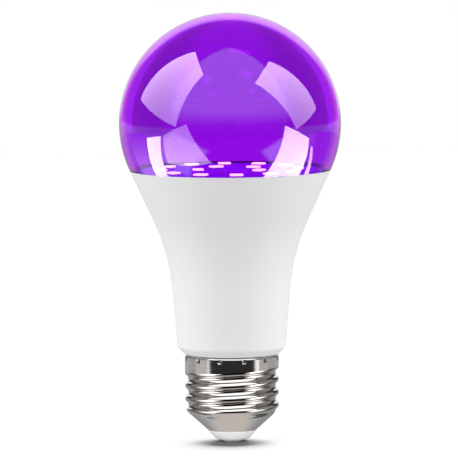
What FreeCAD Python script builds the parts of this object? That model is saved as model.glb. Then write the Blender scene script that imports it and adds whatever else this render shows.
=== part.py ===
"""An LED bulb with a clear violet globe, a white moulded housing and a metal screw cap.

Millimetres, +Z up along the bulb's axis, origin in the face of the centre contact.
Each piece is made where it sits by a function of its own, and the last lines write one file per piece.
"""
import FreeCAD
import Part
import math
import os

Vector = FreeCAD.Vector
AXIS = Vector(0, 0, 1)
CENTRE = Vector(0, 0, 0)
FULL_TURN = 360.0
EIGHTH_TURN = math.pi / 4

# Fits
fit_gap = 0.1
moulded_gap = 0.05
board_fit_gap = 0.25

# Screw shell, rolled from sheet
thread_crest_radius = 13.1
thread_depth = 0.95
thread_pitch = 3.629
groove_end_angle = 97.0
groove_runout_angle = 108.0
shell_sheet = 0.3
shell_bottom = 3.2
shell_hole_radius = 6.8
shell_cone_angle = math.radians(48.0)
shell_blend = 1.2
shell_band = 2.3
shell_rise = 21.2
rim_curl = 0.6
crimp_count = 12
crimp_first_angle = 15.0
crimp_radius = 0.9
crimp_depth = 0.2
crimp_drop = 1.1

# Insulating tip and centre contact
contact_radius = 2.7
contact_thickness = 0.7
contact_proud = 0.3
contact_edge = 0.15
shank_radius = 1.3
shank_above_insulator = 1.2
insulator_tip_radius = 4.25
insulator_rim_radius = 6.85
insulator_tip_round = 1.0
insulator_inside = 2.8

# Housing
housing_height = 51.2
foot_radius = 15.1
foot_chamfer = 1.95
housing_draft = math.radians(4.8)
flare_radius = 58.0
housing_wall = 1.6
lip_wall = 0.7
floor_thickness = 2.2
collar_depth = 3.0
neck_depth = 14.5
neck_wall = 1.6
groove_rib_width = 1.4
groove_rib_reach = 2.4
groove_rib_height = 9.0

# Globe
globe_radius = 30.8
globe_wall = 1.5
joint_drop = 12.9
skirt_depth = 2.4

# Heat sink cup and LED board
cup_wall = 0.9
cup_shelf_width = 4.0
led_board_thickness = 1.0
led_board_drop = 0.3

# LED packages
led_length = 3.5
led_width = 2.8
led_height = 0.75
led_rim = 0.35
led_window_depth = 0.25
led_window_taper = 0.2
outer_led_count = 12
outer_led_margin = 6.5
outer_led_first_angle = 5.0
inner_led_count = 4
inner_ring_radius = 9.0
lead_place_angle = 260.0

# Leads
led_lead_count = 2
lead_radius = 0.6
lead_spacing = 2.4
lead_pad_length = 3.0
lead_straight = 2.0
lead_elbow = 2.5
solder_height = 0.7
solder_radius = 1.05

# Driver board and its parts
back_part_count = 3
driver_thickness = 1.2
driver_tongue_half_width = 8.0
driver_tongue_length = 13.0
driver_top_margin = 1.5
part_spacing = 1.2
can_crimp_depth = 0.3
input_can_radius = 4.0
input_can_length = 12.0
output_can_radius = 3.15
output_can_length = 9.0
choke_radius = 3.9
choke_height = 7.5
choke_post_radius = 2.0
choke_flange = 1.2
fuse_radius = 1.5
fuse_length = 6.5
fuse_waist = 0.25
fuse_wire_radius = 0.3
fuse_wire_bend = 0.8
chip_length = 4.9
chip_width = 3.9
chip_height = 1.5
chip_pin_count = 4
chip_pin_pitch = 1.27
rectifier_length = 4.7
rectifier_width = 3.9
rectifier_height = 2.4
rectifier_pin_count = 2
rectifier_pin_pitch = 2.54
pin_width = 0.45
pin_thickness = 0.2
pin_reach = 1.0
diode_length = 4.3
diode_width = 2.6
diode_height = 2.1
resistor_count = 3
resistor_length = 3.2
resistor_width = 1.6
resistor_height = 0.55

# Heights and radii that follow from the sizes above
shell_top = shell_bottom + shell_rise
thread_top = shell_top - shell_band
groove_end_z = thread_top - thread_pitch / 2
thread_root_inside = thread_crest_radius - thread_depth - shell_sheet
foot_z = shell_top + fit_gap
crease_z = foot_z + foot_chamfer
floor_z = foot_z + floor_thickness
joint_z = foot_z + housing_height
joint_radius = math.sqrt(globe_radius ** 2 - joint_drop ** 2)
globe_centre = joint_z + joint_drop
flare_angle = math.asin(joint_drop / globe_radius)
skirt_bottom = joint_z - skirt_depth
lining_inset = max(housing_wall, globe_wall) + moulded_gap
led_board_top = joint_z - led_board_drop
led_board_bottom = led_board_top - led_board_thickness
collar_radius = thread_crest_radius - rim_curl - fit_gap
neck_radius = thread_root_inside - board_fit_gap
neck_bore = neck_radius - neck_wall
neck_bottom = foot_z - neck_depth
insulator_bottom = contact_proud
insulator_top = shell_bottom + insulator_inside
groove_top = floor_z + groove_rib_height
driver_face = driver_thickness / 2
driver_bottom = floor_z - driver_tongue_length
parts_bottom = floor_z + part_spacing
upper_parts_bottom = parts_bottom + choke_height + part_spacing
driver_top = upper_parts_bottom + output_can_length + driver_top_margin


def at(radius, z):
    """A point of a half-section."""
    return Vector(radius, 0, z)


def polar(radius, degrees, z):
    """A point at a radius and an angle from +X."""
    angle = math.radians(degrees)
    return Vector(radius * math.cos(angle), radius * math.sin(angle), z)


def outline(start, *steps):
    """A closed wire. A step is the end of a straight side, or the middle and the end of an arc."""
    edges = []
    here = start
    for step in steps + (start,):
        if isinstance(step, tuple):
            edges.append(Part.Arc(here, *step).toShape())
            here = step[-1]
        else:
            edges.append(Part.LineSegment(here, step).toShape())
            here = step
    return Part.Wire(edges)


def turned(start, *steps):
    """A half-section turned about the bulb's axis."""
    return Part.Face(outline(start, *steps)).revolve(CENTRE, AXIS, FULL_TURN)


def block(x_size, y_size, z_size, middle_of_base):
    """A box that stands on the middle of its base."""
    corner = middle_of_base - Vector(x_size / 2, y_size / 2, 0)
    return Part.makeBox(x_size, y_size, z_size, corner)


def upper_wall(z, inset):
    """Radius of the housing's upper cone, which is tangent to the globe, moved in by a wall."""
    return joint_radius - inset / math.cos(flare_angle) + (z - joint_z) * math.tan(flare_angle)


def lower_wall(z, inset):
    """Radius of the housing's lower cone, moved in by a wall."""
    return foot_radius - inset / math.cos(housing_draft) + (z - crease_z) * math.tan(housing_draft)


led_board_radius = upper_wall(led_board_bottom, lining_inset)
outer_ring_radius = led_board_radius - outer_led_margin


def flare(inset):
    """Bottom, middle and top of the arc that is tangent to the lower and the upper cone."""
    slope = math.tan(flare_angle) - math.tan(housing_draft)
    corner_z = (lower_wall(0, inset) - upper_wall(0, inset)) / slope
    corner = at(lower_wall(corner_z, inset), corner_z)
    radius = flare_radius + inset
    half_turn = (flare_angle - housing_draft) / 2
    reach = radius * math.tan(half_turn)
    sag = radius * (1 / math.cos(half_turn) - 1)
    lean = (flare_angle + housing_draft) / 2
    low_z = corner_z - reach * math.cos(housing_draft)
    high_z = corner_z + reach * math.cos(flare_angle)
    middle = corner + Vector(sag * math.cos(lean), 0, -sag * math.sin(lean))
    return at(lower_wall(low_z, inset), low_z), middle, at(upper_wall(high_z, inset), high_z)


def on_globe(radius, angle):
    """A point of the globe's half-section, at an angle above its widest place."""
    return at(radius * math.cos(angle), globe_centre + radius * math.sin(angle))


def dome():
    """Thin globe. Its rim rests on the housing's lip, and the inner half of its wall plugs into the lip."""
    inner_radius = globe_radius - globe_wall
    skirt_inset = lip_wall + fit_gap
    crown = math.pi / 2
    middle = (crown - flare_angle) / 2
    return turned(
        on_globe(globe_radius, crown),
        (on_globe(globe_radius, middle), on_globe(globe_radius, -flare_angle)),
        at(upper_wall(joint_z, skirt_inset), joint_z),
        at(upper_wall(skirt_bottom, skirt_inset), skirt_bottom),
        at(upper_wall(skirt_bottom, globe_wall), skirt_bottom),
        on_globe(inner_radius, -flare_angle),
        (on_globe(inner_radius, middle), on_globe(inner_radius, crown)))


def housing():
    """Moulded cone with a lip, a floor, a neck for the cap and two grooves for the driver board."""
    low, middle, high = flare(0)
    low_inside, middle_inside, high_inside = flare(housing_wall)
    lip_floor = skirt_bottom - fit_gap
    shell = turned(
        at(joint_radius, joint_z),
        high,
        (middle, low),
        at(foot_radius, crease_z),
        at(foot_radius - foot_chamfer, foot_z),
        at(collar_radius, foot_z),
        at(collar_radius, foot_z - collar_depth),
        at(neck_radius, foot_z - collar_depth),
        at(neck_radius, neck_bottom),
        at(neck_bore, neck_bottom),
        at(neck_bore, floor_z),
        at(lower_wall(floor_z, housing_wall), floor_z),
        low_inside,
        (middle_inside, high_inside),
        at(upper_wall(lip_floor, housing_wall), lip_floor),
        at(upper_wall(lip_floor, lip_wall), lip_floor),
        at(upper_wall(joint_z, lip_wall), joint_z))
    envelope = turned(
        at(0, floor_z),
        at(lower_wall(floor_z, 0), floor_z),
        low,
        (middle, high),
        at(0, high.z))
    notch = block(neck_radius * 2, (lead_radius + fit_gap) * 2, lead_elbow + lead_radius,
                  Vector(-neck_radius, -driver_face - lead_radius, neck_bottom))
    return shell.fuse(groove_ribs().common(envelope)).removeSplitter().cut(notch)


def driver_half_width():
    """The driver board reaches into both grooves and clears the wall by a fit."""
    return lower_wall(floor_z, housing_wall) - board_fit_gap


def groove_ribs():
    """Four upright ribs inside the wall, in two pairs that hold the driver board's edges."""
    inner_end = driver_half_width() - groove_rib_reach
    length = foot_radius - inner_end
    offset = driver_face + fit_gap + groove_rib_width / 2
    ribs = []
    for side in (-1, 1):
        for face in (-1, 1):
            middle = Vector(side * (inner_end + length / 2), face * offset, floor_z)
            ribs.append(block(length, groove_rib_width, groove_rib_height, middle))
    return ribs[0].fuse(ribs[1:])


def heat_sink_cup():
    """Drawn cup that lines the housing, with a shelf at the top for the LED board."""
    inside_inset = lining_inset + cup_wall
    low, middle, high = flare(lining_inset)
    low_inside, middle_inside, high_inside = flare(inside_inset)
    shelf_bore = led_board_radius - cup_shelf_width
    shelf_bottom = led_board_bottom - cup_wall
    lining = turned(
        at(led_board_radius, led_board_bottom),
        high,
        (middle, low),
        at(lower_wall(floor_z, lining_inset), floor_z),
        at(lower_wall(floor_z, inside_inset), floor_z),
        low_inside,
        (middle_inside, high_inside),
        at(upper_wall(shelf_bottom, inside_inset), shelf_bottom),
        at(shelf_bore, shelf_bottom),
        at(shelf_bore, led_board_bottom))
    return lining.cut(Part.makeCylinder(joint_radius, groove_top + fit_gap))


def lead_place(number):
    """Where a lead comes up through the LED board, at the free place of the inner ring."""
    middle = polar(inner_ring_radius, lead_place_angle, led_board_bottom)
    return middle + Vector((number - (led_lead_count + 1) / 2) * lead_spacing, 0, 0)


def led_board():
    """Round aluminium-core board with holes for the leads."""
    board = Part.makeCylinder(led_board_radius, led_board_thickness, at(0, led_board_bottom))
    for number in range(1, led_lead_count + 1):
        board = board.cut(Part.makeCylinder(lead_radius + fit_gap, led_board_thickness, lead_place(number)))
    return board


def led_places():
    """Radius and angle of each LED: a full outer ring, and an inner ring less the leads' place."""
    places = []
    for number in range(outer_led_count):
        places.append((outer_ring_radius, outer_led_first_angle + number * FULL_TURN / outer_led_count))
    for number in range(1, inner_led_count + 1):
        places.append((inner_ring_radius, lead_place_angle + number * FULL_TURN / (inner_led_count + 1)))
    return places


def rectangle(x_size, y_size, z):
    """A rectangle about the axis at one height."""
    x = x_size / 2
    y = y_size / 2
    corners = [Vector(-x, -y, z), Vector(x, -y, z), Vector(x, y, z), Vector(-x, y, z)]
    return Part.makePolygon(corners + corners[:1])


def led_package(radius, degrees):
    """Flat package with a tapered window, its long side along the ring."""
    body = block(led_width, led_length, led_height, CENTRE)
    mouth_x = led_width - led_rim * 2
    mouth_y = led_length - led_rim * 2
    floor_x = mouth_x - led_window_taper * 2
    floor_y = mouth_y - led_window_taper * 2
    floor = rectangle(floor_x, floor_y, led_height - led_window_depth)
    mouth = rectangle(mouth_x, mouth_y, led_height)
    package = body.cut(Part.makeLoft([floor, mouth], True))
    package.rotate(CENTRE, AXIS, degrees)
    package.translate(polar(radius, degrees, led_board_top))
    return package


def wire(edges):
    """Round insulated wire along straight runs and tangent arcs."""
    path = Part.Wire(edges)
    start = edges[0].valueAt(edges[0].FirstParameter)
    heading = edges[0].tangentAt(edges[0].FirstParameter)
    section = Part.Wire(Part.makeCircle(lead_radius, start, heading))
    return path.makePipeShell([section], True, True)


def straight(start, end):
    """A straight run."""
    return Part.LineSegment(start, end).toShape()


def s_bend(start, end):
    """Two equal arcs, upright at both ends, from one upright run to another beside it."""
    across = Vector(end.x - start.x, end.y - start.y, 0)
    offset = across.Length
    rise = end.z - start.z
    radius = (offset ** 2 + rise ** 2) / (4 * offset)
    half_angle = math.asin(rise / 2 / radius) / 2
    step = across * (radius * (1 - math.cos(half_angle)) / offset) + AXIS * (radius * math.sin(half_angle))
    middle = (start + end) / 2
    return [Part.Arc(start, start + step, middle).toShape(), Part.Arc(middle, end - step, end).toShape()]


def elbow(start, corner, end, radius):
    """Two runs at right angles with a round corner."""
    inward = (start - corner).normalize()
    onward = (end - corner).normalize()
    leave = corner + inward * radius
    arrive = corner + onward * radius
    middle = corner + (inward + onward) * (radius * (1 - math.cos(EIGHTH_TURN)))
    return [straight(start, leave), Part.Arc(leave, middle, arrive).toShape(), straight(arrive, end)]


def led_lead(number):
    """Wire from the driver board's top edge up through the LED board."""
    hole = lead_place(number)
    y = -driver_face - lead_radius
    foot = Vector(hole.x, y, driver_top - lead_pad_length)
    leave = Vector(hole.x, y, driver_top)
    arrive = hole - AXIS * lead_straight
    end = hole + AXIS * led_board_thickness
    return wire([straight(foot, leave)] + s_bend(leave, arrive) + [straight(arrive, end)])


def lead_solder(number):
    """Domed solder joint over the end of a lead on the LED board."""
    base = lead_place(number) + AXIS * led_board_thickness
    ball_radius = (solder_radius ** 2 + solder_height ** 2) / (2 * solder_height)
    ball = Part.makeSphere(ball_radius, base + AXIS * (solder_height - ball_radius))
    return ball.common(block(ball_radius * 2, ball_radius * 2, ball_radius, base))


def live_lead():
    """Wire from the driver board's tongue down into the contact's shank."""
    x = driver_tongue_half_width / 2
    y = -driver_face - lead_radius
    head = Vector(x, y, driver_bottom + lead_pad_length)
    leave = Vector(x, y, driver_bottom)
    arrive = at(0, insulator_top + shank_above_insulator)
    end = arrive - AXIS * shank_above_insulator
    return wire([straight(head, leave)] + s_bend(leave, arrive) + [straight(arrive, end)])


def neutral_lead():
    """Wire from the driver board's tongue out through the neck's notch to the shell."""
    x = -driver_tongue_half_width / 2
    y = -driver_face - lead_radius
    z = neck_bottom + lead_radius + fit_gap
    head = Vector(x, y, driver_bottom + lead_pad_length)
    return wire(elbow(head, Vector(x, y, z), Vector(board_fit_gap - thread_root_inside, y, z), lead_elbow))


def driver_board():
    """T-shaped board: its shoulders stand on the housing's floor and its tongue hangs in the neck."""
    upper = block(driver_half_width() * 2, driver_thickness, driver_top - floor_z, at(0, floor_z))
    tongue_width = driver_tongue_half_width * 2
    tongue = block(tongue_width, driver_thickness, driver_tongue_length, at(0, driver_bottom))
    return upper.fuse(tongue).removeSplitter()


def can(radius, length, side, bottom):
    """Electrolytic can with a rolled groove near its foot, lying along the driver board."""
    body = turned(
        at(0, 0),
        at(radius, 0),
        at(radius, radius / 2 - can_crimp_depth),
        at(radius - can_crimp_depth, radius / 2),
        at(radius, radius / 2 + can_crimp_depth),
        at(radius, length - can_crimp_depth),
        at(radius - can_crimp_depth, length),
        at(0, length))
    body.translate(Vector(side * (radius + part_spacing / 2), -driver_face - fit_gap - radius, bottom))
    return body


def choke_place():
    """Middle of the choke's base in front of the driver board."""
    return Vector(choke_radius + part_spacing / 2, -driver_face - fit_gap - choke_radius, parts_bottom)


def choke_core():
    """Ferrite drum with two flanges."""
    core = turned(
        at(0, 0),
        at(choke_radius, 0),
        at(choke_radius, choke_flange),
        at(choke_post_radius, choke_flange),
        at(choke_post_radius, choke_height - choke_flange),
        at(choke_radius, choke_height - choke_flange),
        at(choke_radius, choke_height),
        at(0, choke_height))
    core.translate(choke_place())
    return core


def choke_winding():
    """Coil of enamelled wire as one sleeve between the drum's flanges."""
    sleeve_height = choke_height - (choke_flange + fit_gap) * 2
    winding = turned(
        at(choke_post_radius + fit_gap, choke_flange + fit_gap),
        at(choke_radius - fit_gap, choke_flange + fit_gap),
        at(choke_radius - fit_gap, choke_flange + fit_gap + sleeve_height),
        at(choke_post_radius + fit_gap, choke_flange + fit_gap + sleeve_height))
    winding.translate(choke_place())
    return winding


def fuse_resistor():
    """Axial resistor with fat ends in the neck, its wires bent into the driver board."""
    body = turned(
        at(0, 0),
        at(fuse_radius, 0),
        at(fuse_radius, fuse_radius),
        at(fuse_radius - fuse_waist, fuse_radius + fuse_waist),
        at(fuse_radius - fuse_waist, fuse_length - fuse_radius - fuse_waist),
        at(fuse_radius, fuse_length - fuse_radius),
        at(fuse_radius, fuse_length),
        at(0, fuse_length))
    y = -driver_face - fit_gap - fuse_radius
    lower_end = driver_bottom + (driver_tongue_length - fuse_length) / 2
    body.translate(Vector(0, y, lower_end))
    for start_z, way in ((lower_end, -1), (lower_end + fuse_length, 1)):
        start = Vector(0, y, start_z)
        corner = start + AXIS * (way * fuse_wire_bend * 2)
        end = Vector(0, -driver_face, corner.z)
        path = Part.Wire(elbow(start, corner, end, fuse_wire_bend))
        section = Part.Wire(Part.makeCircle(fuse_wire_radius, start, AXIS))
        body = body.fuse(path.makePipeShell([section], True, True))
    return body.removeSplitter()


def pinned_package(length, width, height, pin_count, pin_pitch, middle_z):
    """Flat moulded package on the back of the driver board with bent pins along both long sides."""
    middle_y = driver_face + (height + pin_thickness) / 2
    package = block(width, height - pin_thickness, length, Vector(0, middle_y, 0))
    for side in (-1, 1):
        for number in range(pin_count):
            z = length / 2 + (number - (pin_count - 1) / 2) * pin_pitch - pin_width / 2
            x = side * (width / 2 + pin_reach / 2)
            foot = block(pin_reach, pin_thickness, pin_width, Vector(x, driver_face + pin_thickness / 2, z))
            leg_x = side * (width / 2 + pin_thickness / 2)
            leg = block(pin_thickness, height / 2, pin_width, Vector(leg_x, driver_face + height / 4, z))
            package = package.fuse([foot, leg])
    package.translate(AXIS * (middle_z - length / 2))
    return package.removeSplitter()


def back_part_z(number):
    """Height of the middle of a part on the driver board's back, evenly spread from the bottom."""
    return parts_bottom + (driver_top - parts_bottom) * (number * 2 - 1) / (back_part_count * 2)


def freewheel_diode():
    """Moulded diode on the driver board's back."""
    z = back_part_z(3) - diode_width / 2
    return block(diode_length, diode_height, diode_width, Vector(0, driver_face + diode_height / 2, z))


def chip_resistor(number):
    """One of a row of small resistors beside the driver chip."""
    x = chip_width / 2 + pin_reach + part_spacing + resistor_width / 2
    y = driver_face + resistor_height / 2
    step = resistor_length + part_spacing / 2
    z = back_part_z(2) + (number - (resistor_count + 1) / 2) * step - resistor_length / 2
    return block(resistor_width, resistor_height, resistor_length, Vector(x, y, z))


def smooth_step(x):
    """Rises from 0 to 1 with level ends."""
    x = min(max(x, 0.0), 1.0)
    return x * x * (3 - 2 * x)


def smooth_min(a, b, blend):
    """The lesser of two lengths, rounded where they meet."""
    nearness = max(blend - abs(a - b), 0.0) / blend
    return min(a, b) - nearness * nearness * blend / 4


def knuckle_depth(distance):
    """Depth below the crest at a distance from a groove's middle: two equal tangent arcs."""
    quarter = thread_pitch / 4
    arc = (quarter ** 2 + (thread_depth / 2) ** 2) / thread_depth
    distance = abs(distance)
    if distance < quarter:
        return thread_depth - arc + math.sqrt(arc ** 2 - distance ** 2)
    return arc - math.sqrt(arc ** 2 - (thread_pitch / 2 - distance) ** 2)


def shell_radius(degrees, z):
    """Outside of the rolled shell: the end cone, then the knuckle thread, which runs out below the band.

    The groove is a right-hand helix. Its turns are counted back from where it ends under the band.
    """
    turns_past_end = (degrees - groove_end_angle) / FULL_TURN
    pitches_above_end = (z - groove_end_z) / thread_pitch
    groove = math.floor(pitches_above_end - turns_past_end + 0.5)
    along = turns_past_end + groove
    fade = smooth_step(-along * FULL_TURN / groove_runout_angle)
    threaded = thread_crest_radius - knuckle_depth((pitches_above_end - along) * thread_pitch) * fade
    cone = shell_hole_radius + (z - shell_bottom) * math.tan(shell_cone_angle)
    return smooth_min(threaded, cone, shell_blend)


def threaded_face(sheet):
    """The shell's surface below the band: points of the formula above, turn by height."""
    turn_steps = 120
    row_steps = 56
    columns = []
    for i in range(turn_steps + 1):
        degrees = (i % turn_steps) * FULL_TURN / turn_steps
        column = []
        for j in range(row_steps + 1):
            z = shell_bottom + (thread_top - shell_bottom) * j / row_steps
            column.append(polar(shell_radius(degrees, z) - sheet, degrees, z))
        columns.append(column)
    surface = Part.BSplineSurface()
    surface.interpolate(columns)
    return surface.toShape()


def screw_shell():
    """Rolled sheet shell with a curled rim, crimped to the housing's neck by a ring of dimples."""
    outside = thread_crest_radius
    inside = thread_crest_radius - shell_sheet
    curl_z = shell_top - rim_curl
    inner_curl = rim_curl - shell_sheet
    edge_radius = outside - rim_curl
    slant = math.cos(EIGHTH_TURN)
    band = Part.Wire([
        straight(at(outside, thread_top), at(outside, curl_z)),
        Part.Arc(at(outside, curl_z), at(edge_radius + rim_curl * slant, curl_z + rim_curl * slant),
                 at(edge_radius, shell_top)).toShape(),
        straight(at(edge_radius, shell_top), at(edge_radius, shell_top - shell_sheet)),
        Part.Arc(at(edge_radius, shell_top - shell_sheet),
                 at(edge_radius + inner_curl * slant, curl_z + inner_curl * slant),
                 at(inside, curl_z)).toShape(),
        straight(at(inside, curl_z), at(inside, thread_top))])
    hole_inside = at(shell_hole_radius - shell_sheet, shell_bottom)
    hole_edge = straight(hole_inside, at(shell_hole_radius, shell_bottom))
    faces = [threaded_face(0), threaded_face(shell_sheet)]
    faces += band.revolve(CENTRE, AXIS, FULL_TURN).Faces
    faces += hole_edge.revolve(CENTRE, AXIS, FULL_TURN).Faces
    skin = Part.makeCompound(faces)
    skin.sewShape()
    shell = Part.Solid(skin.Shells[0])
    if shell.Volume < 0:
        shell.reverse()
    for number in range(crimp_count):
        angle = crimp_first_angle + number * FULL_TURN / crimp_count
        reach = thread_crest_radius - crimp_depth + crimp_radius
        shell = shell.cut(Part.makeSphere(crimp_radius, polar(reach, angle, shell_top - crimp_drop)))
    return shell


def cap_insulator():
    """Plug with a round-edged tip outside the shell's hole and a flange against its end cone."""
    recess_top = contact_thickness + fit_gap
    rim_z = shell_bottom - fit_gap
    hole = shell_hole_radius - shell_sheet - fit_gap
    flange_radius = hole + (insulator_top - shell_bottom) * math.tan(shell_cone_angle) - fit_gap
    corner = at(insulator_tip_radius, insulator_bottom)
    side = (at(insulator_rim_radius, rim_z) - corner).normalize()
    inward = Vector(-1, 0, 0)
    half_angle = side.getAngle(inward) / 2
    corner_cut = insulator_tip_round * (1 - math.sin(half_angle)) / math.cos(half_angle)
    round_middle = corner + (side + inward).normalize() * corner_cut
    return turned(
        at(contact_radius + fit_gap, insulator_bottom),
        corner + inward * insulator_tip_round,
        (round_middle, corner + side * insulator_tip_round),
        at(insulator_rim_radius, rim_z),
        at(hole, rim_z),
        at(hole, shell_bottom),
        at(flange_radius, insulator_top),
        at(shank_radius + moulded_gap, insulator_top),
        at(shank_radius + moulded_gap, recess_top),
        at(contact_radius + fit_gap, recess_top))


def centre_contact():
    """Rivet with a flat head and a shank that is bored for the live lead."""
    shank_top = insulator_top + shank_above_insulator
    bore = lead_radius + moulded_gap
    return turned(
        at(0, 0),
        at(contact_radius - contact_edge, 0),
        at(contact_radius, contact_edge),
        at(contact_radius, contact_thickness),
        at(shank_radius, contact_thickness),
        at(shank_radius, shank_top),
        at(bore, shank_top),
        at(bore, insulator_top - moulded_gap),
        at(0, insulator_top - moulded_gap))


pieces = {
    "dome": dome(),
    "housing": housing(),
    "heat_sink_cup": heat_sink_cup(),
    "led_board": led_board(),
    "driver_board": driver_board(),
    "input_capacitor": can(input_can_radius, input_can_length, -1, parts_bottom),
    "output_capacitor": can(output_can_radius, output_can_length, 1, upper_parts_bottom),
    "choke_core": choke_core(),
    "choke_winding": choke_winding(),
    "fuse_resistor": fuse_resistor(),
    "bridge_rectifier": pinned_package(rectifier_length, rectifier_width, rectifier_height,
                                       rectifier_pin_count, rectifier_pin_pitch, back_part_z(1)),
    "driver_chip": pinned_package(chip_length, chip_width, chip_height,
                                  chip_pin_count, chip_pin_pitch, back_part_z(2)),
    "freewheel_diode": freewheel_diode(),
    "live_lead": live_lead(),
    "neutral_lead": neutral_lead(),
    "screw_shell": screw_shell(),
    "cap_insulator": cap_insulator(),
    "centre_contact": centre_contact(),
}
for number, (radius, degrees) in enumerate(led_places(), start=1):
    pieces[f"led_{number}"] = led_package(radius, degrees)
for number in range(1, resistor_count + 1):
    pieces[f"chip_resistor_{number}"] = chip_resistor(number)
for number in range(1, led_lead_count + 1):
    pieces[f"led_lead_{number}"] = led_lead(number)
    pieces[f"lead_solder_{number}"] = lead_solder(number)

os.makedirs("parts", exist_ok=True)
for name, shape in pieces.items():
    shape.exportStep(f"parts/{name}.step")
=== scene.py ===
import math
from functools import partial

import bpy
import numpy as np
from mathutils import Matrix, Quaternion, Vector


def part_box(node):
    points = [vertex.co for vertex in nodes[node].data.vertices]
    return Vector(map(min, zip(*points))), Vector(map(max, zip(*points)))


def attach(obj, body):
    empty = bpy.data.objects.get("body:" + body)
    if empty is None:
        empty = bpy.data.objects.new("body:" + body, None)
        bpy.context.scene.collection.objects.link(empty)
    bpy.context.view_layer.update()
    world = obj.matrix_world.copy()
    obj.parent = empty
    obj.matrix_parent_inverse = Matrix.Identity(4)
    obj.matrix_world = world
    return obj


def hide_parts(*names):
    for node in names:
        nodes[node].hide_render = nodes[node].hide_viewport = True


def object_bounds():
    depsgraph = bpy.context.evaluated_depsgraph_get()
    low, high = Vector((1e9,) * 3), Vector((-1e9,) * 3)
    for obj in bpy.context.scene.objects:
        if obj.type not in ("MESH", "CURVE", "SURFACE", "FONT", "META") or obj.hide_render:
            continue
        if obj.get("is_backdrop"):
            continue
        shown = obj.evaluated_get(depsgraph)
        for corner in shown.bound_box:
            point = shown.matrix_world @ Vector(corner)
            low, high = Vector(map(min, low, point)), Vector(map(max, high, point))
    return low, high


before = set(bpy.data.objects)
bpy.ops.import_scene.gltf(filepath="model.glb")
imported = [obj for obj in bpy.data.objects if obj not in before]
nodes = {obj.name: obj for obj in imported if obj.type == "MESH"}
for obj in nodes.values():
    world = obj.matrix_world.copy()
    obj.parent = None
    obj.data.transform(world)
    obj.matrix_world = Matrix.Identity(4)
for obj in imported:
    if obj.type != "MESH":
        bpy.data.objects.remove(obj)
cad_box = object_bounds()

# Screw shell. Steel sheet, nickel plated and rolled into a right-hand knuckle thread round the housing's
# neck. Its rim is curled inwards, and a ring of punched dimples below the rim grips the neck. The dimples'
# faces are a dark nickel, a painted shade in them.
MM = 0.001
sheet = 0.3
crest_radius, groove_depth, pitch = 13.1, 0.95, 3.629
shell_bottom, band_bottom, shell_top = 3.2, 22.1, 24.4
hole_radius, cone_angle, cone_blend = 6.8, math.radians(48), 1.2
groove_end_angle, groove_runout, groove_end_z = 97, 108, band_bottom - pitch / 2
rim_curl = 0.6
dimple_count, dimple_radius, dimple_depth, dimple_drop = 12, 0.9, 0.2, 1.1


def smooth_step(x):
    """0 below 0, 1 above 1, and the cubic 3x^2 - 2x^3 between."""
    x = np.clip(x, 0, 1)
    return x * x * (3 - 2 * x)


def knuckle_depth(distance):
    """Depth of the groove at a distance from its middle: one arc for the root, then an equal arc, bent the
    other way, for half the crest. They meet a quarter of the pitch from the middle."""
    quarter = pitch / 4
    arc = (quarter ** 2 + (groove_depth / 2) ** 2) / groove_depth
    root = groove_depth - arc + np.sqrt(np.maximum(arc ** 2 - distance ** 2, 0))
    crest = arc - np.sqrt(np.maximum(arc ** 2 - (pitch / 2 - np.abs(distance)) ** 2, 0))
    return np.where(np.abs(distance) < quarter, root, crest)


def shell_radius(degrees, z):
    """Radius of the sheet's outside. It is the crest's radius less the depth of the nearest turn of the
    groove, which fades out where the groove ends below the band, or the end cone's radius where that is
    less, with the corner between them rounded."""
    turns = (degrees - groove_end_angle) / 360
    pitches = (z - groove_end_z) / pitch
    along = turns + np.floor(pitches - turns + 0.5)
    runout = smooth_step(-along * 360 / groove_runout)
    thread = crest_radius - knuckle_depth((pitches - along) * pitch) * runout
    cone = hole_radius + (z - shell_bottom) * math.tan(cone_angle)
    near = np.maximum(cone_blend - np.abs(thread - cone), 0) / cone_blend
    return np.minimum(thread, cone) - near * near * cone_blend / 4


def rings(name, radius, z, columns, crease=35):
    """A surface of rings about the bulb's axis. Each row is a ring with its radius and height, which may
    change round the ring, and quads join it to the next row. A first and last row of no radius become
    points with fans of triangles. Rows that stay off the axis are joined into a loop."""
    rows = len(radius)
    radius = np.asarray(radius, float).reshape(rows, -1) * np.ones(columns)
    z = np.asarray(z, float).reshape(rows, -1) * np.ones(columns)
    angle = np.arange(columns) * (2 * math.pi / columns)
    points = np.stack([radius * np.cos(angle), radius * np.sin(angle), z], axis=-1).reshape(-1, 3) * MM
    index = np.arange(radius.size).reshape(rows, columns)
    index = np.where(radius[:, :1] == 0, index[:, :1], index)
    lower, upper = index, np.roll(index, -1, axis=0)
    if radius[0, 0] == 0:
        lower, upper = index[:-1], index[1:]
    quads = np.stack([lower, np.roll(lower, -1, 1), np.roll(upper, -1, 1), upper], axis=-1).reshape(-1, 4)
    used, quads = np.unique(quads, return_inverse=True)
    quads = quads.reshape(-1, 4)
    fan_below = quads[:, 0] == quads[:, 1]
    fan_above = quads[:, 2] == quads[:, 3]
    faces = quads[~(fan_below | fan_above)].tolist()
    faces += quads[fan_below][:, 1:].tolist() + quads[fan_above][:, :3].tolist()
    return skin(name, points[used], faces, crease)


def skin(name, points, faces, crease):
    """A mesh object at the origin, shaded smooth apart from edges sharper than the crease, in degrees."""
    mesh = bpy.data.meshes.new(name)
    mesh.from_pydata(points.tolist(), [], faces)
    mesh.set_sharp_from_angle(angle=math.radians(crease))
    piece = bpy.data.objects.new(name, mesh)
    bpy.context.scene.collection.objects.link(piece)
    return piece


def finish(name, **sockets):
    """A material of one Principled shader. The words are the shader's sockets, with _ for a space."""
    material = bpy.data.materials.new(name)
    material.use_nodes = True
    shader = material.node_tree.nodes["Principled BSDF"]
    for socket, value in sockets.items():
        shader.inputs[socket.replace("_", " ")].default_value = value
    return material


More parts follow.
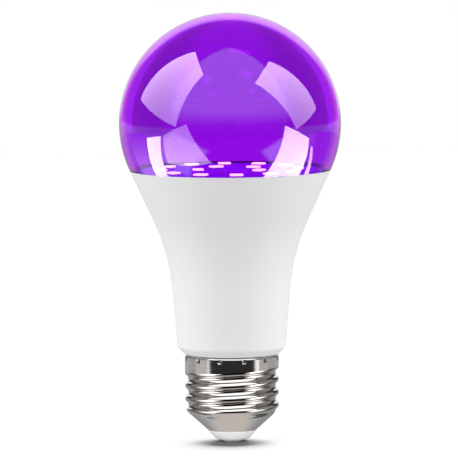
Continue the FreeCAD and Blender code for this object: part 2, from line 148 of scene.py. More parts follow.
def relief(material, grains, height, stretch=(1, 1, 1), roughness=None):
    """Gives a finish a fine relief of noise: grains per metre along each axis times the stretch, raised by a
    height in metres. The same noise spreads the roughness between the two values given."""
    tree = material.node_tree
    shader = tree.nodes["Principled BSDF"]
    place = tree.nodes.new("ShaderNodeTexCoord")
    mapping = tree.nodes.new("ShaderNodeMapping")
    mapping.inputs["Scale"].default_value = stretch
    noise = tree.nodes.new("ShaderNodeTexNoise")
    noise.inputs["Scale"].default_value = grains
    noise.inputs["Detail"].default_value = 4
    bump = tree.nodes.new("ShaderNodeBump")
    bump.inputs["Distance"].default_value = height
    tree.links.new(place.outputs["Object"], mapping.inputs["Vector"])
    tree.links.new(mapping.outputs["Vector"], noise.inputs["Vector"])
    tree.links.new(noise.outputs["Fac"], bump.inputs["Height"])
    tree.links.new(bump.outputs["Normal"], shader.inputs["Normal"])
    if roughness:
        spread = tree.nodes.new("ShaderNodeMapRange")
        spread.inputs["From Min"].default_value = 0.3
        spread.inputs["From Max"].default_value = 0.7
        spread.inputs["To Min"].default_value = roughness[0]
        spread.inputs["To Max"].default_value = roughness[1]
        tree.links.new(noise.outputs["Fac"], spread.inputs["Value"])
        tree.links.new(spread.outputs["Result"], shader.inputs["Roughness"])
    return material


def dress(piece, material, slot, *replaced):
    """Puts a finish on a new piece, ties the piece to the bulb and lets it stand for CAD nodes."""
    piece.data.materials.append(material)
    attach(piece, "root")
    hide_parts(*replaced)


columns = 400
degrees = np.arange(columns) * 360 / columns
quarter_turn = np.linspace(0, math.pi / 2, 8)[:, None]
thread_z = np.linspace(shell_bottom, band_bottom, 160)[:, None]
band_z = np.linspace(band_bottom, shell_top - rim_curl, 18)[1:, None]
curl_out = crest_radius - rim_curl + rim_curl * np.cos(quarter_turn[1:])
curl_out_z = shell_top - rim_curl + rim_curl * np.sin(quarter_turn[1:])
curl_in = crest_radius - rim_curl + (rim_curl - sheet) * np.cos(quarter_turn[::-1])
curl_in_z = shell_top - rim_curl + (rim_curl - sheet) * np.sin(quarter_turn[::-1])
inner_z = np.linspace(band_bottom, shell_bottom, 50)[:, None]
outside_z = np.concatenate([thread_z, band_z, curl_out_z]) * np.ones(columns)
band = crest_radius + 0 * band_z * degrees
outside = np.concatenate([shell_radius(degrees, thread_z), band, curl_out + 0 * degrees])
across = np.radians(degrees % (360 / dimple_count) - 180 / dimple_count) * crest_radius
off_middle = across ** 2 + (outside_z - shell_top + dimple_drop) ** 2
ball_face = np.sqrt(np.maximum(dimple_radius ** 2 - off_middle, 0))
punched = crest_radius - dimple_depth + dimple_radius - ball_face
outside = np.where(off_middle < dimple_radius ** 2, np.minimum(outside, punched), outside)
inside = np.concatenate([curl_in + 0 * degrees, shell_radius(degrees, inner_z) - sheet])
inside_z = np.concatenate([curl_in_z, inner_z]) * np.ones(columns)
screw_shell = rings("screw_shell_rolled", np.concatenate([outside, inside]),
                    np.concatenate([outside_z, inside_z]), columns)
nickel = finish("nickel_plate", Base_Color=(0.76, 0.735, 0.71, 1), Metallic=1.0)
relief(nickel, 160, 0.000003, stretch=(1, 1, 9), roughness=(0.06, 0.12))
dress(screw_shell, nickel, "nickel", "screw_shell")
# Painted shade: the faces inside the dimples get a nearly black nickel that stands in for the shade in them.
dimple_shade_nickel = finish("dimple_shade_nickel", Base_Color=(0.16, 0.155, 0.15, 1), Metallic=1.0)
relief(dimple_shade_nickel, 900, 0.00001, roughness=(0.3, 0.45))
screw_shell.data.materials.append(dimple_shade_nickel)
in_dimple = np.zeros((len(outside) + len(inside), columns), np.int32)
in_dimple[:len(outside)] = off_middle < dimple_radius ** 2 - (dimple_radius - dimple_depth) ** 2
screw_shell.data.polygons.foreach_set("material_index", in_dimple.ravel())

# Cap insulator. White glazed plug moulded into the shell's end hole: a short tapered tip outside with a
# rounded edge and a recess for the contact, and a flange against the end cone inside.


def eased(before, corner, after, reach):
    """Points round a corner of a half-section: the parabola that leaves both sides at the reach."""
    before, corner, after = (np.array(p, float) for p in (before, corner, after))
    start = corner + (before - corner) * reach / np.linalg.norm(before - corner)
    end = corner + (after - corner) * reach / np.linalg.norm(after - corner)
    t = np.linspace(0, 1, 9)[:, None]
    return start * (1 - t) ** 2 + corner * 2 * t * (1 - t) + end * t ** 2


def turned(name, sections, columns, crease=35):
    """A half-section of points and point lists, turned about the bulb's axis."""
    outline = np.concatenate([np.array(s, float).reshape(-1, 2) for s in sections])
    return rings(name, outline[:, 0], outline[:, 1], columns, crease)


tip_bottom, tip_radius, tip_rim, tip_top = 0.3, 4.25, 6.85, 3.1
plug_radius, plug_top, shank_hole, recess_radius, recess_top = 6.4, 6.0, 1.35, 2.8, 0.8
plug_flange = plug_radius + (plug_top - shell_bottom) * math.tan(cone_angle) - 0.1
insulator = turned("cap_insulator_glazed", [
    eased((recess_radius, recess_top), (recess_radius, tip_bottom), (tip_radius, tip_bottom), 0.12),
    eased((recess_radius, tip_bottom), (tip_radius, tip_bottom), (tip_rim, tip_top), 1.3),
    eased((tip_radius, tip_bottom), (tip_rim, tip_top), (plug_radius, tip_top), 0.12),
    (plug_radius, tip_top), (plug_radius, shell_bottom), (plug_flange, plug_top), (shank_hole, plug_top),
    (shank_hole, recess_top), (recess_radius, recess_top)], 128)
glaze = finish("white_glaze", Base_Color=(0.95, 0.95, 0.95, 1), Specular_IOR_Level=0.2)
relief(glaze, 900, 0.000002, roughness=(0.26, 0.32))
dress(insulator, glaze, "tip_white", "cap_insulator")

# Centre contact. Brass rivet, nickel plated, pressed through the plug. Its flat head is the live contact
# and shows wear marks in rings from turning against a holder's spring.
wear_spacing, worn_roughness, dull_roughness = 0.9, 0.2, 0.42


def ramp_node(tree, value, low, high, start, end):
    """A smooth change from start to end as a value goes from low to high, as one node of a tree."""
    node = tree.nodes.new("ShaderNodeMapRange")
    node.interpolation_type = "SMOOTHSTEP"
    for socket, number in zip(node.inputs[1:5], (low, high, start, end)):
        socket.default_value = number
    tree.links.new(value, node.inputs["Value"])
    return node.outputs["Result"]


def ring_marks(tree, spacing):
    """Bands in rings about the bulb's axis, one to each spacing in millimetres, as a value from 0 to 1."""
    marks = tree.nodes.new("ShaderNodeTexWave")
    marks.wave_type, marks.rings_direction = "RINGS", "Z"
    marks.inputs["Scale"].default_value = 2 * math.pi / (20 * spacing * MM)
    tree.links.new(tree.nodes.new("ShaderNodeTexCoord").outputs["Object"], marks.inputs["Vector"])
    return marks.outputs["Fac"]


contact_metal = finish("contact_nickel", Base_Color=(0.72, 0.69, 0.63, 1), Metallic=1.0)
relief(contact_metal, 1400, 0.000006)
tree = contact_metal.node_tree
tree.links.new(ramp_node(tree, ring_marks(tree, wear_spacing), 0.4, 0.8, dull_roughness, worn_roughness),
               tree.nodes["Principled BSDF"].inputs["Roughness"])
nodes["centre_contact"].data.materials.clear()
nodes["centre_contact"].data.materials.append(contact_metal)

# Housing. One white moulding of fine satin plastic: a drafted cone that flares to meet the globe, with a
# chamfered foot, a floor, a neck inside the screw shell and two pairs of ribs for the driver board.
foot_radius, foot_z, foot_chamfer = 15.1, 24.5, 1.95
joint_z, globe_radius, joint_drop = 75.7, 30.8, 12.9
draft = math.radians(4.8)
flare = math.asin(joint_drop / globe_radius)
flare_radius = 58
wall, lip_wall, lip_floor, floor_z = 1.6, 0.7, 73.2, 26.7
neck_radius, neck_bore, neck_bottom, collar_radius, collar_z = 11.6, 10.0, 10.0, 12.4, 21.5
notch_y, notch_half, notch_height = -1.2, 0.7, 3.1
rib_y, rib_half, rib_height, rib_reach = 1.4, 0.7, 9.0, 2.65
joint_radius = math.sqrt(globe_radius ** 2 - joint_drop ** 2)
crease_z = foot_z + foot_chamfer


def upper_cone(z, inset):
    """Radius of the flared cone that carries on the globe's slope, moved in by an inset."""
    return joint_radius - inset / math.cos(flare) + (z - joint_z) * math.tan(flare)


def lower_cone(z, inset):
    """Radius of the drafted cone above the foot, moved in by an inset."""
    return foot_radius - inset / math.cos(draft) + (z - crease_z) * math.tan(draft)


def flare_arc(inset):
    """The arc between the two cones, tangent to both. Its middle lies outside the housing, at the flare's
    radius along the lower cone's normal from where that cone ends."""
    corner_z = (lower_cone(0, inset) - upper_cone(0, inset)) / (math.tan(flare) - math.tan(draft))
    low_z = corner_z - (flare_radius + inset) * math.tan((flare - draft) / 2) * math.cos(draft)
    lean = np.linspace(draft, flare, 48)
    r = lower_cone(low_z, inset) + (flare_radius + inset) * (math.cos(draft) - np.cos(lean))
    z = low_z + (flare_radius + inset) * (np.sin(lean) - math.sin(draft))
    return np.stack([r, z], axis=1)


joint = (joint_radius, joint_z)
lip_inside = (upper_cone(joint_z, lip_wall), joint_z)
foot = (foot_radius - foot_chamfer, foot_z)
housing_outline = np.concatenate([np.array(section, float).reshape(-1, 2) for section in [
    eased((collar_radius, foot_z), foot, (foot_radius, crease_z), 0.25),
    eased(foot, (foot_radius, crease_z), flare_arc(0)[0], 0.55),
    flare_arc(0),
    eased(flare_arc(0)[-1], joint, lip_inside, 0.12),
    lip_inside, (upper_cone(lip_floor, lip_wall), lip_floor), (upper_cone(lip_floor, wall), lip_floor),
    flare_arc(wall)[::-1],
    (lower_cone(floor_z, wall), floor_z), (neck_bore, floor_z), (neck_bore, neck_bottom),
    (neck_radius, neck_bottom), (neck_radius, collar_z), (collar_radius, collar_z), (collar_radius, foot_z)]])
housing_columns = 256
round_angle = np.arange(housing_columns) * (2 * math.pi / housing_columns)
in_notch = (np.cos(round_angle) < 0) & (np.abs(neck_bore * np.sin(round_angle) - notch_y) < notch_half)
housing_z = housing_outline[:, 1:] * np.ones(housing_columns)
housing_z[housing_outline[:, 1] == neck_bottom] += notch_height * in_notch
housing = rings("housing_moulded", housing_outline[:, 0], housing_z, housing_columns, crease=50)
white_plastic = finish("satin_white_plastic", Base_Color=(0.85, 0.85, 0.86, 1), Specular_IOR_Level=0.35)
relief(white_plastic, 2600, 0.000005, roughness=(0.42, 0.55))
dress(housing, white_plastic, "white_plastic", "housing")


def upright_ribs():
    """Eight corners of each of the four ribs. A rib is a block beside the driver board, from its reach inside
    the wall at the floor out into the wall, whose lean its outer end follows."""
    side, face, out, across, up = np.meshgrid(*[[-1, 1]] * 2, *[[0, 1]] * 3, indexing="ij")
    z = floor_z + up * rib_height
    inner_end = lower_cone(floor_z, wall) - rib_reach
    x = side * np.where(out == 1, lower_cone(z, wall / 2), inner_end)
    y = face * rib_y + (2 * across - 1) * rib_half
    return np.stack([x, y, z], axis=-1).reshape(4, 8, 3)


block_faces = np.array([[0, 1, 3, 2], [4, 6, 7, 5], [0, 4, 5, 1], [2, 3, 7, 6], [0, 2, 6, 4], [1, 5, 7, 3]])
turned_over = np.array([block_faces[:, ::-1]] * 2 + [block_faces] * 2)
ribs = skin("driver_ribs", upright_ribs().reshape(-1, 3) * MM,
            (turned_over + 8 * np.arange(4)[:, None, None]).reshape(-1, 4).tolist(), 30)
dress(ribs, white_plastic, "white_plastic", "housing")

# LED board. Round aluminium-core board under white solder mask, held on the cup's shelf by the globe's skirt.
# The mask has a painted violet glow in place of the lit LEDs' light on it. Tracks that link them in rings
# show under the mask as rings of weaker painted glow.
board_top, track_spacing = 75.4, 4.4
painted_mask_glow, painted_track_glow = 0.78, 0.66
# Painted glow: the mask emits violet light in place of the LEDs' light falling on it, weaker over the tracks.
board_mask = finish("white_solder_mask_painted_glow", Base_Color=(0.85, 0.8, 0.92, 1), Specular_IOR_Level=0.3,
                    Emission_Color=(0.3, 0.01, 0.9, 1))
relief(board_mask, 700, 0.00002, roughness=(0.3, 0.45))
tree = board_mask.node_tree
tree.links.new(ramp_node(tree, ring_marks(tree, track_spacing), 0.5, 0.7, painted_mask_glow, painted_track_glow),
               tree.nodes["Principled BSDF"].inputs["Emission Strength"])
nodes["led_board"].data.materials.clear()
nodes["led_board"].data.materials.append(board_mask)

# LED packages. Milky moulded frames with a tapered window, soldered flat on the board with their long sides
# along two rings: twelve in the outer ring, four in the inner one beside the leads. They are lit, with a
# green-white light that reads white through the violet globe.
led_half, led_height, led_rim, window_depth, window_taper = (1.4, 1.75), 0.75, 0.35, 0.25, 0.2
led_light, foot_glow, frame_glow, window_glow = (0.45, 1, 0.35, 1), 0.3, 16.0, 18.0
led_names = [f"led_{number}" for number in range(1, 17)]
led_boxes = np.array([[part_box(name)[0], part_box(name)[1]] for name in led_names]) / MM
led_middle = led_boxes.mean(axis=1)[:, :2]


def packages(inset, height):
    """Levels of all the packages at once. A level is a superellipse of power 8, the package's outline moved
    in by the inset, and each package is turned to the angle at which it sits on its ring."""
    t = np.linspace(0, 2 * math.pi, 48, endpoint=False)
    square = np.stack([np.sign(f(t)) * np.abs(f(t)) ** 0.25 for f in (np.cos, np.sin)])
    half = np.array(led_half)[:, None] - inset
    x, y = np.maximum(half, 0)[:, :, None] * square[:, None, :]
    along = np.arctan2(led_middle[:, 1], led_middle[:, 0])[:, None, None]
    px = led_middle[:, 0, None, None] + x * np.cos(along) - y * np.sin(along)
    py = led_middle[:, 1, None, None] + x * np.sin(along) + y * np.cos(along)
    pz = board_top + height[:, None] + 0 * px
    points = np.stack([px, py, pz], axis=-1)
    index = np.arange(points[..., 0].size).reshape(px.shape)
    onward = np.roll(index, -1, 2)
    quads = np.stack([index[:, :-1], onward[:, :-1], onward[:, 1:], index[:, 1:]], axis=-1)
    caps = np.concatenate([index[:, 0, ::-1], index[:, -1]])
    return points.reshape(-1, 3) * MM, quads, caps


led_points, led_sides, led_caps = packages(
    np.array([0, 0, 0.06, led_rim - 0.04, led_rim, led_rim + window_taper]),
    np.array([0, led_height - 0.06, led_height, led_height, led_height - 0.03, led_height - window_depth]))
leds = skin("led_packages", led_points, led_sides.reshape(-1, 4).tolist() + led_caps.tolist(), 40)
led_frame = finish("milky_led_frame", Base_Color=(0.9, 0.9, 0.9, 1), Emission_Color=led_light)
relief(led_frame, 1500, 0.000005, roughness=(0.3, 0.5))
led_window = finish("led_window", Base_Color=(0.95, 0.95, 0.9, 1), Emission_Color=led_light,
                    Emission_Strength=window_glow)
relief(led_window, 900, 0.00001, roughness=(0.1, 0.2))
tree = led_frame.node_tree
split = tree.nodes.new("ShaderNodeSeparateXYZ")
tree.links.new(tree.nodes.new("ShaderNodeTexCoord").outputs["Object"], split.inputs["Vector"])
glow_start, glow_full = (board_top + 0.3) * MM, (board_top + 0.5) * MM
tree.links.new(ramp_node(tree, split.outputs["Z"], glow_start, glow_full, foot_glow, frame_glow),
               tree.nodes["Principled BSDF"].inputs["Emission Strength"])
dress(leds, led_frame, "led_body", *led_names)
leds.data.materials.append(led_window)
window_faces = np.zeros(len(leds.data.polygons), np.int32)
window_faces[-len(led_names):] = 1
leds.data.polygons.foreach_set("material_index", window_faces)
leds.visible_diffuse = leds.visible_glossy = False

# Globe. Clear violet plastic, blown thin, with a stepped edge: its rim stands on the housing's lip and the
# inner half of its wall plugs in behind the lip.
globe_wall, skirt_bottom, skirt_inset = 1.5, 73.3, 0.8
globe_middle = joint_z + joint_drop


def globe_arc(radius, start, end):
    """Points of a circle about the globe's middle between two angles above its widest place."""
    angle = np.linspace(start, end, 140)
    return np.stack([radius * np.cos(angle), globe_middle + radius * np.sin(angle)], axis=1)


crown = math.pi / 2
inner_globe = globe_arc(globe_radius - globe_wall, crown, -flare)
outer_globe = globe_arc(globe_radius, -flare, crown)
inner_globe[0, 0] = outer_globe[-1, 0] = 0
globe = turned("dome_blown", [
    inner_globe,
    (upper_cone(skirt_bottom, globe_wall), skirt_bottom),
    (upper_cone(skirt_bottom, skirt_inset), skirt_bottom),
    (upper_cone(joint_z, skirt_inset), joint_z),
    outer_globe], 240)
violet = finish("clear_violet_plastic", Base_Color=(0.56, 0.05, 0.94, 1), Transmission_Weight=1.0, IOR=1.49)
relief(violet, 30, 0.00003, roughness=(0.0, 0.02))
dress(globe, violet, "violet_plastic", "dome")

# Heat sink cup. Drawn aluminium that lines the housing and carries the LED board on a turned-in shelf.
# Drawing leaves faint lines up its wall.
bare_aluminium = finish("drawn_aluminium", Base_Color=(0.8, 0.8, 0.81, 1), Metallic=1.0)
relief(bare_aluminium, 500, 0.00002, stretch=(1, 1, 0.08), roughness=(0.25, 0.45))
nodes["heat_sink_cup"].data.materials.clear()
nodes["heat_sink_cup"].data.materials.append(bare_aluminium)

# Driver. A green glass-fibre board on edge in the housing's grooves, with its cans, choke, fusible resistor
# and moulded packages, and the leads that join it to the LED board, the contact and the shell. Each finish is
# a colour, the metal share, grains per metre, their height in metres and two values of roughness.
driver_finishes = {
    "driver_board": ((0.05, 0.2, 0.08, 1), 0.0, 400, 0.00002, (0.3, 0.5)),
    "input_capacitor output_capacitor": ((0.02, 0.022, 0.03, 1), 0.0, 300, 0.00002, (0.2, 0.35)),
    "choke_core": ((0.05, 0.05, 0.055, 1), 0.0, 1500, 0.00002, (0.55, 0.75)),
    "choke_winding": ((0.6, 0.24, 0.1, 1), 1.0, 2500, 0.00005, (0.25, 0.4)),
    "fuse_resistor": ((0.16, 0.3, 0.42, 1), 0.0, 900, 0.00001, (0.3, 0.45)),
    "chip_resistor_1 chip_resistor_2 chip_resistor_3": (
        (0.03, 0.03, 0.035, 1), 0.0, 900, 0.00001, (0.3, 0.45)),
    "bridge_rectifier driver_chip freewheel_diode": ((0.02, 0.02, 0.022, 1), 0.0, 2500, 0.00001, (0.45, 0.6)),
    "led_lead_1 live_lead": ((0.5, 0.02, 0.02, 1), 0.0, 1200, 0.00001, (0.3, 0.45)),
    "led_lead_2 neutral_lead": ((0.02, 0.02, 0.02, 1), 0.0, 1200, 0.00001, (0.3, 0.45)),
    "lead_solder_1 lead_solder_2": ((0.72, 0.72, 0.72, 1), 1.0, 900, 0.00003, (0.18, 0.35)),
}
for names, (colour, metallic, grains, height, roughness) in driver_finishes.items():
    driver_finish = finish(names.split()[0] + "_finish", Base_Color=colour, Metallic=metallic)
    relief(driver_finish, grains, height, roughness=roughness)
    for name in names.split():
        nodes[name].data.materials.clear()
        nodes[name].data.materials.append(driver_finish)

# Stage. A white floor in a bright room. A lamp from above and behind draws the contact shadow of the cap's
# end, soft boxes give the globe its bright panes, and cards light the threads' sides, the tip and the
# housing's foot. Each lights one piece alone, so that the rest stays at the room's plain level.
floor_edge, floor_back, ground_z = 1.2, 1.06, -0.00002
floor_bounce, floor_seen, seen_through_globe = (0.11, 0.11, 0.11, 1), (0.2, 0.2, 0.2, 1), 0.65


def math_node(tree, operation, *values):
    """The result of one Math node in a tree: numbers are set on it, and other nodes' outputs linked to it."""
    node = tree.nodes.new("ShaderNodeMath")
    node.operation = operation
    for socket, value in zip(node.inputs, values):
        if isinstance(value, (int, float)):
            socket.default_value = value
        else:
            tree.links.new(value, socket)
    return node.outputs["Value"]


def pieces_of(name, *pieces):
    """A collection outside the scene that names the pieces for a light's linking."""
    collection = bpy.data.collections.new(name)
    for piece in pieces:
        collection.objects.link(piece)
    return collection


def aimed_lamp(name, kind, strength, toward, lit):
    """A lamp of one kind that faces a direction, shows in no mirror and lights only the pieces given."""
    lamp = bpy.data.objects.new(name, bpy.data.lights.new(name, kind))
    lamp.data.energy = strength
    lamp.rotation_euler = Vector(toward).to_track_quat("-Z", "Y").to_euler()
    lamp.visible_camera = lamp.visible_glossy = lamp.visible_transmission = False
    lamp.light_linking.receiver_collection = pieces_of(name + "_lights", *lit)
    bpy.context.scene.collection.objects.link(lamp)
    lamp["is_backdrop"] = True
    return lamp


floor = skin("floor", np.array([(-floor_edge, -floor_edge, ground_z), (floor_edge, -floor_edge, ground_z),
                                (floor_edge, floor_back, ground_z), (-floor_edge, floor_back, ground_z)]),
             [[0, 1, 2, 3]], 30)
floor_white = finish("white_floor", Roughness=1.0, Specular_IOR_Level=0.0)
tree = floor_white.node_tree
path = tree.nodes.new("ShaderNodeLightPath").outputs
floor_colour = tree.nodes.new("ShaderNodeMix")
floor_colour.data_type = "RGBA"
floor_colour.inputs["A"].default_value = floor_bounce
floor_colour.inputs["B"].default_value = floor_seen
seen = math_node(tree, "MULTIPLY_ADD", path["Is Transmission Ray"], seen_through_globe, path["Is Camera Ray"])
tree.links.new(seen, floor_colour.inputs["Factor"])
tree.links.new(floor_colour.outputs["Result"], tree.nodes["Principled BSDF"].inputs["Base Color"])
floor.data.materials.append(floor_white)
floor.visible_glossy = False
floor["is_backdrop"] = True
floor_lamp = aimed_lamp("floor_lamp", "SUN", 20.4, (-0.08, -1.2, -1), [floor])
floor_lamp.data.angle = math.radians(56)
floor_lamp.light_linking.blocker_collection = pieces_of("cap_end", insulator, nodes["centre_contact"])
tip_card = aimed_lamp("tip_card", "SUN", 2.6, (0, 1, -0.2), [insulator])
tip_card.data.angle = math.radians(20)
foot_card = aimed_lamp("foot_card", "AREA", 0.0028, (0, 0, 1), [housing])
foot_card.data.shape, foot_card.data.size = "DISK", 0.05
foot_card.location = (0, 0, 0.013)

# Each soft box has its distance from the globe's middle in metres, its strength at its foot and at its top,
# and its corners as compass angles and heights seen from there, in degrees.
globe_centre = np.array([0, 0, globe_middle * MM])
pink_white, neutral = (1, 0.76, 0.86, 1), (1, 0.96, 0.93, 1)
globe_boxes = {
    "high_left": (0.11, 5, 12.5, [(-74, 64), (-33, 47), (-50, 0), (-100, 15)]),
    "high_right": (0.11, 5, 12.5, [(63, 55), (28, 39), (63, -3), (91, 9)]),
    "low_left": (4.0, 8.0, 4.5, [(-74.1, -8.7), (-46.2, 2.6), (-22.0, -36.6), (-78.2, -31.0)]),
    "low_left_strip": (4.0, 20, 20, [(-97.1, -9.9), (-76.7, -8.7), (-91.7, -41.5), (-109.1, -36.1)]),
    "low_left_glow": (4.0, 3.4, 0.0, [(-130, -2), (-98, -2), (-109, -42), (-132, -42)]),
    "low_right": (4.0, 23, 16, [(58.7, -0.1), (91.1, -11.3), (101.1, -39.6), (47.9, -51.2)]),
    "low_right_edge": (4.0, 12, 10, [(96.2, -17.1), (99.4, -16.8), (117.0, -34.2), (110.1, -36.6)]),
}
shell_cards = {
    "card_left": (4.0, 0.24, 0.12, [(-125, 50), (-64, 50), (-64, 2), (-125, 2)]),
    "card_right": (4.0, 0.24, 0.12, [(72, 50), (125, 50), (125, 2), (72, 2)]),
}


def facing_globe(tree, point, ray):
    """How squarely the globe faces a point of a soft box: 0 where the ray between them leaves the globe at a
    flat angle, 1 where it leaves steeply. With the globe's radius r, the ray's length t and the distance d
    of the point from the globe's middle, the cosine of its angle to the normal is (d^2 - t^2 - r^2) / 2rt."""
    offset = tree.nodes.new("ShaderNodeVectorMath")
    offset.operation = "DISTANCE"
    offset.inputs[1].default_value = globe_centre
    tree.links.new(point, offset.inputs[0])
    reach, radius = offset.outputs["Value"], globe_radius * MM
    total, rest = math_node(tree, "ADD", reach, ray), math_node(tree, "SUBTRACT", reach, ray)
    squares = math_node(tree, "SUBTRACT", math_node(tree, "MULTIPLY", total, rest), radius ** 2)
    cosine = math_node(tree, "DIVIDE", squares, math_node(tree, "MULTIPLY", ray, 2 * radius))
    return ramp_node(tree, cosine, 0.25, 0.55, 0.0, 1.0)


def soft_box(name, colour, away, low_strength, high_strength, corners):
    """A glowing pane whose strength goes smoothly from its foot to its top. It is a quad between four
    corners, each at the distance away from the globe's middle, and lets all that lies behind it through."""
    bearing, height = np.radians(np.array(corners, float)).T
    level = np.cos(height)
    way = np.stack([level * np.sin(bearing), -level * np.cos(bearing), np.sin(height)], axis=1)
    pane_points = globe_centre + way * away
    pane = skin("soft_box_" + name, pane_points, [[0, 1, 2, 3]], 30)
    glow = bpy.data.materials.new("soft_box_" + name)
    glow.use_nodes = True
    tree = glow.node_tree
    tree.nodes.clear()
    place = tree.nodes.new("ShaderNodeTexCoord").outputs["Object"]
    path = tree.nodes.new("ShaderNodeLightPath").outputs
    split = tree.nodes.new("ShaderNodeSeparateXYZ")
    tree.links.new(place, split.inputs["Vector"])
    low_z, high_z = pane_points[:, 2].min(), pane_points[:, 2].max()
    strength = ramp_node(tree, split.outputs["Z"], low_z, high_z, low_strength, high_strength)
    strength = math_node(tree, "MULTIPLY", strength, math_node(tree, "LESS_THAN", path["Diffuse Depth"], 0.5))
    if name in globe_boxes:
        strength = math_node(tree, "MULTIPLY", strength, facing_globe(tree, place, path["Ray Length"]))
    emission = tree.nodes.new("ShaderNodeEmission")
    emission.inputs["Color"].default_value = colour
    clear_sheet = tree.nodes.new("ShaderNodeBsdfTransparent")
    both = tree.nodes.new("ShaderNodeAddShader")
    output = tree.nodes.new("ShaderNodeOutputMaterial")
    tree.links.new(strength, emission.inputs["Strength"])
    tree.links.new(emission.outputs["Emission"], both.inputs[0])
    tree.links.new(clear_sheet.outputs["BSDF"], both.inputs[1])
    tree.links.new(both.outputs["Shader"], output.inputs["Surface"])
    pane.data.materials.append(glow)
    pane.visible_camera = pane.visible_diffuse = pane.visible_transmission = pane.visible_shadow = False
    pane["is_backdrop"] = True
    return pane


for boxes, colour, lit in ((globe_boxes, pink_white, globe), (shell_cards, neutral, screw_shell)):
    lit_piece = pieces_of(lit.name + "_only", lit)
    for name, box in boxes.items():
        soft_box(name, colour, *box).light_linking.receiver_collection = lit_piece

world = bpy.data.worlds.new("studio")
bpy.context.scene.world = world
world.use_nodes = True
studio = world.node_tree
studio.nodes.clear()
step, ramp = partial(math_node, studio), partial(ramp_node, studio)
split = studio.nodes.new("ShaderNodeSeparateXYZ")
studio.links.new(studio.nodes.new("ShaderNodeTexCoord").outputs["Generated"], split.inputs["Vector"])
x, y, z = split.outputs
path = studio.nodes.new("ShaderNodeLightPath").outputs
first = step("LESS_THAN", path["Diffuse Depth"], 0.5)

# What metal and plastic mirror: a table that is pale at the sides and dark in front and in its far corners,
# with a bright patch at each side, a narrow strip of light at its far edge, a pale wall high in front and a
# white backdrop, in an otherwise dark room.
flat = step("SQRT", step("ADD", step("MULTIPLY", x, x), step("MULTIPLY", y, y)))
to_front = step("DIVIDE", step("MULTIPLY", y, -1.0), step("ADD", flat, 0.001))
table_side = step("MULTIPLY", step("MULTIPLY_ADD", x, -0.09, 0.6), ramp(y, 0.3, 0.8, 1.0, 0.55))
table = step("MULTIPLY", ramp(to_front, 0.3, 0.66, 1.0, 0.01), table_side)
beneath = ramp(z, -0.97, -0.8, 1.0, 0.0)
table = step("MULTIPLY_ADD", beneath, step("SUBTRACT", 0.66, table), table)
compass = step("ARCTAN2", x, step("MULTIPLY", y, -1.0))
behind = step("ABSOLUTE", compass)
dark_corner = step("MULTIPLY", ramp(behind, 1.65, 1.85, 0.0, 0.8), ramp(behind, 2.2, 2.45, 1.0, 0.0))
dark_corner = step("MULTIPLY", dark_corner, step("SUBTRACT", 1.0, beneath))
table = step("MULTIPLY", table, step("SUBTRACT", 1.0, dark_corner))


def bright_patch(middle, half, strength):
    """A bright diamond in the room, by its middle and half sizes in compass angle and height: full inside
    three quarters of its half sizes, and gone past its edge."""
    sizes = zip((compass, z), middle, half)
    off = [step("MULTIPLY", step("ABSOLUTE", step("SUBTRACT", *pair)), 1 / size) for *pair, size in sizes]
    return ramp(step("ADD", *off), 0.75, 1.05, strength, 0.0)


left_patch = bright_patch((-1.05, -0.42), (0.7, 0.36), 2.2)
right_patch = bright_patch((1.15, -0.42), (0.6, 0.36), 2.2)
table = step("MAXIMUM", table, step("ADD", left_patch, right_patch))
wall_height = step("MULTIPLY", ramp(z, 0.0, 0.33, 0.04, 1.0), ramp(y, -0.2, 0.25, 1.0, 0.1))
front_wall = step("MULTIPLY", ramp(to_front, 0.35, 0.5, 0.0, 1.55), wall_height)
backdrop = step("MULTIPLY", ramp(y, 0.74, 0.81, 0.0, 1.0), ramp(step("ABSOLUTE", x), 0.4, 0.55, 1.0, 0.0))
backdrop = step("MULTIPLY", backdrop, ramp(z, 0.05, 0.35, 0.35, 1.0))
backdrop = step("MAXIMUM", backdrop, ramp(y, 0.88, 0.95, 0.0, 1.0))
room = step("MAXIMUM", step("MAXIMUM", front_wall, backdrop), 0.05)
mirrored = step("MULTIPLY_ADD", ramp(z, -0.07, -0.02, 1.0, 0.0), step("SUBTRACT", table, room), room)
far_table = step("MULTIPLY", ramp(z, -0.125, -0.105, 0.0, 1.0), ramp(z, -0.06, -0.04, 1.0, 0.0))
far_strip = bright_patch((1.13, -0.087), (0.14, 0.3), 1.0)
far_level = step("MAXIMUM", ramp(to_front, 0.5, 0.6, 0.5, 0.04), far_strip)
mirrored = step("MULTIPLY_ADD", far_table, step("SUBTRACT", far_level, mirrored), mirrored)
mirrored = step("MULTIPLY", mirrored, first)

# What lights plain surfaces: soft light from all round, more from both sides.
soft = step("MULTIPLY_ADD", step("MULTIPLY", x, x), 1.95, 0.7)
level = step("MULTIPLY_ADD", path["Is Glossy Ray"], step("SUBTRACT", mirrored, soft), soft)

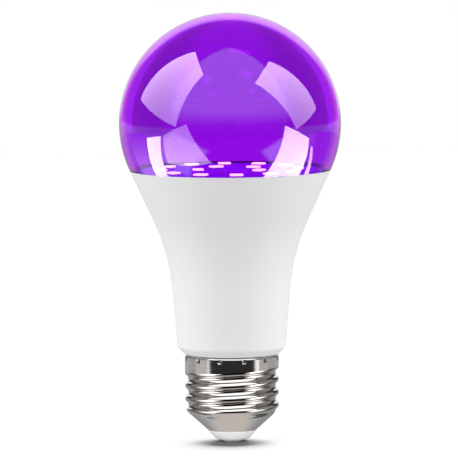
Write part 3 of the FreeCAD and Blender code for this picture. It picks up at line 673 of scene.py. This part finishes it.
# What shows through the globe: a backdrop that is greyer at both sides and bright past them, which the
# globe's wall bends into dark sides and a pale rim. The camera itself sees white.
sunk = step("ADD", z, 0.08)
aside = step("SQRT", step("MULTIPLY_ADD", x, x, step("MULTIPLY", sunk, step("MULTIPLY", sunk, 0.36))))
dark_sides = ramp(step("ABSOLUTE", x), 0.02, 0.055, 0.84, 0.58)
through = step("ADD", dark_sides, ramp(aside, 0.145, 0.165, 0.0, 0.66))
through = step("MINIMUM", through, ramp(aside, 0.25, 0.5, 2.0, 1.0))
clear = step("MULTIPLY", path["Is Transmission Ray"], first)
level = step("MULTIPLY_ADD", clear, step("SUBTRACT", through, level), level)
level = step("MULTIPLY_ADD", path["Is Camera Ray"], step("SUBTRACT", 1.0, level), level)
warmth = studio.nodes.new("ShaderNodeMix")
warmth.data_type = "RGBA"
warmth.inputs["A"].default_value = (1, 1, 1, 1)
warmth.inputs["B"].default_value = (1, 0.92, 0.86, 1)
background = studio.nodes.new("ShaderNodeBackground")
world_output = studio.nodes.new("ShaderNodeOutputWorld")
warm = step("MULTIPLY", beneath, step("MULTIPLY", path["Is Glossy Ray"], first))
studio.links.new(warm, warmth.inputs["Factor"])
studio.links.new(warmth.outputs["Result"], background.inputs["Color"])
studio.links.new(level, background.inputs["Strength"])
studio.links.new(background.outputs["Background"], world_output.inputs["Surface"])

# Camera. A long lens that looks slightly down at the bulb's middle from the front. It is turned a little
# about its own axis, because the bulb leans that much in the photograph.
distance, elevation, roll, field = 1.8, math.radians(5), math.radians(-0.44), 0.1273
aim = Vector((-0.0005, 0, 0.0592))
camera = bpy.data.objects.new("camera", bpy.data.cameras.new("camera"))
camera.data.lens = camera.data.sensor_width * distance / field
camera.data.clip_end = 100
camera.location = aim + Vector((0, -math.cos(elevation), math.sin(elevation))) * distance
look = (aim - camera.location).to_track_quat("-Z", "Y")
camera.rotation_euler = (look @ Quaternion((0, 0, 1), roll)).to_euler()
bpy.context.scene.collection.objects.link(camera)
bpy.context.scene.camera = camera
bpy.context.scene.view_settings.view_transform = "Standard"

boxes = {"cad": cad_box, "visual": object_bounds()}
